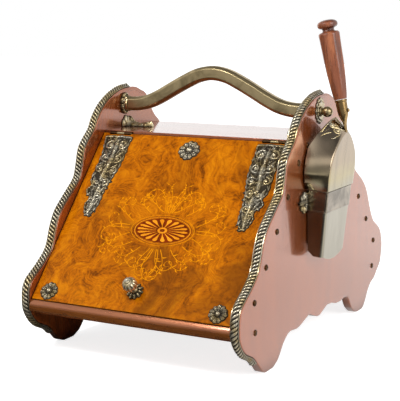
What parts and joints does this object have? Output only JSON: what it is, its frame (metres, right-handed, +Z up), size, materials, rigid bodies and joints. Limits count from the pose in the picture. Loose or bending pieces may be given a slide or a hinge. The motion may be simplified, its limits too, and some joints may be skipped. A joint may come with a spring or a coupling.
{
  "type": "coal scuttle",
  "caption": "Walnut box coal scuttle with shaped sides, sloping inlaid lid, brass bow handle and a brass shovel in a side strap.",
  "frame": {"origin": "middle of the bounding box, on the surface that the feet stand on", "axes": "+X is the shovel side, -Y is the front with the sloping lid, +Z is up"},
  "size_m": [0.4181, 0.576, 0.4833],
  "materials": {
    "walnut": "polished red-brown walnut",
    "burr_walnut": "polished golden burr walnut with inlay",
    "cast_mounts": "tarnished cast brass",
    "handle_brass": "antique brass",
    "strap_brass": "dark polished brass",
    "pan_brass": "pale polished brass sheet",
    "rosewood": "turned and faceted rosewood",
    "liner_sheet": "black japanned sheet",
    "steel": "dark steel wire and pins"
  },
  "bodies": {
    "root": {"side_panel_left": "walnut", "side_panel_right": "walnut", "rope_moulding_left": "cast_mounts", "rope_moulding_right": "cast_mounts", "top_board": "walnut", "back_board": "walnut", "bottom_board": "walnut", "front_rail": "walnut", "lid_batten_left": "walnut", "lid_batten_right": "walnut", "hinge_board_leaf_left": "handle_brass", "hinge_board_leaf_right": "handle_brass", "hinge_pin_left": "steel", "hinge_pin_right": "steel", "handle_boss_left": "cast_mounts", "handle_boss_right": "cast_mounts", "handle_back_plate_left": "cast_mounts", "handle_back_plate_right": "cast_mounts", "handle_bracket_left": "cast_mounts", "handle_bracket_right": "cast_mounts", "shovel_strap": "strap_brass", "strap_scroll_front": "cast_mounts", "strap_scroll_back": "cast_mounts", "coal_liner": "liner_sheet", "liner_handle": "steel"},
    "lid": {"lid": "burr_walnut", "lid_strap_left": "cast_mounts", "lid_strap_right": "cast_mounts", "rosette_top": "cast_mounts", "rosette_lower_left": "cast_mounts", "rosette_lower_right": "cast_mounts", "knob_rose": "cast_mounts", "lid_knob": "cast_mounts", "hinge_lid_leaf_left": "handle_brass", "hinge_lid_leaf_right": "handle_brass"},
    "handle": {"handle_bar": "handle_brass", "handle_flange_left": "handle_brass", "handle_flange_right": "handle_brass", "handle_nut_left": "handle_brass", "handle_nut_right": "handle_brass"},
    "shovel": {"shovel_pan": "pan_brass", "shovel_hood": "pan_brass", "shovel_socket": "handle_brass", "shovel_rivet": "handle_brass", "shovel_grip": "rosewood", "shovel_finial": "rosewood"}
  },
  "joints": [
    {"name": "lid_hinge", "type": "hinge", "parent": "root", "child": "lid", "pos_m": [-0.0157, -0.07602, 0.307], "axis": [-1, 0, 0], "range_deg": [0, 140]},
    {"name": "handle_swing", "type": "hinge", "parent": "root", "child": "handle", "pos_m": [-0.0157, -0.01702, 0.349], "axis": [1, 0, 0], "range_deg": [-80, 45]},
    {"name": "shovel_lift", "type": "slide", "parent": "root", "child": "shovel", "axis": [0.0889, 0, 0.996], "range_m": [0, 0.11]}
  ]
}
